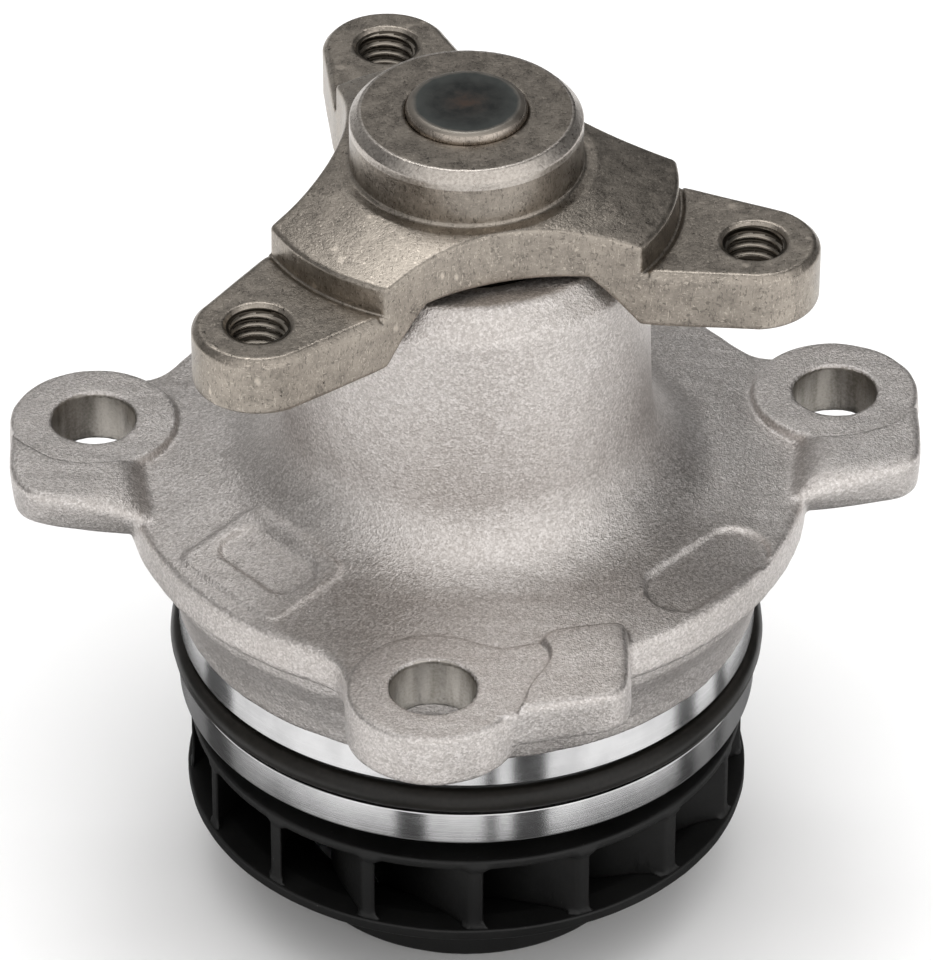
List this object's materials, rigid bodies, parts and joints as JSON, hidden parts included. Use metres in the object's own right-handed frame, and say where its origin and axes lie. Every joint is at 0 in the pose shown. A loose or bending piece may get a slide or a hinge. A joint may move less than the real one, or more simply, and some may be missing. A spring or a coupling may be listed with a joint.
{
  "type": "engine coolant pump",
  "caption": "Belt-driven engine coolant pump: cast body with mounting lugs and an O-ringed spigot, a pulley hub on one end of its shaft and a closed plastic impeller on the other.",
  "frame": {"origin": "point where the shaft axis crosses the face of the lugs that seats on the engine", "axes": "+Z along the shaft towards the pulley hub; +X towards the right lug as seen from the front lug, which points along -Y"},
  "size_m": [0.1222, 0.1074, 0.1235],
  "materials": {
    "cast_aluminium": "shot-blasted as cast, machined bright on the spigot lands",
    "hub_steel": "turned and milled steel, dull warm grey with dark specks",
    "shaft_steel": "ground and hardened, dark end face",
    "bearing_steel": "ground",
    "sleeve_steel": "turned",
    "spring_steel": "drawn wire",
    "seal_case_brass": "pressed",
    "seal_carbon": "lapped carbon",
    "seat_ceramic": "lapped ceramic",
    "seal_rubber": "moulded",
    "o_ring_rubber": "moulded, slight sheen",
    "cage_polymer": "moulded",
    "impeller_plastic": "moulded, glass filled"
  },
  "bodies": {
    "housing": {"pump_body": "cast_aluminium", "body_o_ring": "o_ring_rubber", "bearing_outer_ring": "bearing_steel", "bearing_seal_hub_side": "seal_rubber", "bearing_seal_pump_side": "seal_rubber", "seal_case": "seal_case_brass", "seal_spring": "spring_steel", "seal_bellows": "seal_rubber"},
    "rotor": {"bearing_shaft": "shaft_steel", "pulley_hub": "hub_steel", "seal_seat_ring": "seat_ceramic", "seal_seat_boot": "seal_rubber", "seal_sleeve": "sleeve_steel", "impeller_wheel": "impeller_plastic", "impeller_front_shroud": "impeller_plastic", "impeller_insert": "sleeve_steel"},
    "roller_set": {"bearing_rollers": "bearing_steel", "roller_cage": "cage_polymer"},
    "ball_set": {"bearing_balls": "bearing_steel", "ball_cage": "cage_polymer"},
    "carbon_face": {"seal_carbon_ring": "seal_carbon"}
  },
  "joints": [
    {"name": "shaft_spin", "type": "hinge", "parent": "housing", "child": "rotor", "pos_m": [0, 0, 0], "axis": [0, 0, 1], "continuous": true},
    {"name": "roller_orbit", "type": "hinge", "parent": "housing", "child": "roller_set", "pos_m": [0, 0, 0.034], "axis": [0, 0, 1], "continuous": true},
    {"name": "ball_orbit", "type": "hinge", "parent": "housing", "child": "ball_set", "pos_m": [0, 0, 0.014], "axis": [0, 0, 1], "continuous": true},
    {"name": "seal_float", "type": "slide", "parent": "housing", "child": "carbon_face", "axis": [0, 0, 1], "range_m": [0, 0.0015], "stiffness_N_per_m": 3000, "springref_m": -0.008, "deforming": ["seal_spring", "seal_bellows"]}
  ],
  "couplings": [
    {"joint": "roller_orbit", "follows": "shaft_spin", "ratio": 0.3858},
    {"joint": "ball_orbit", "follows": "shaft_spin", "ratio": 0.3507}
  ]
}
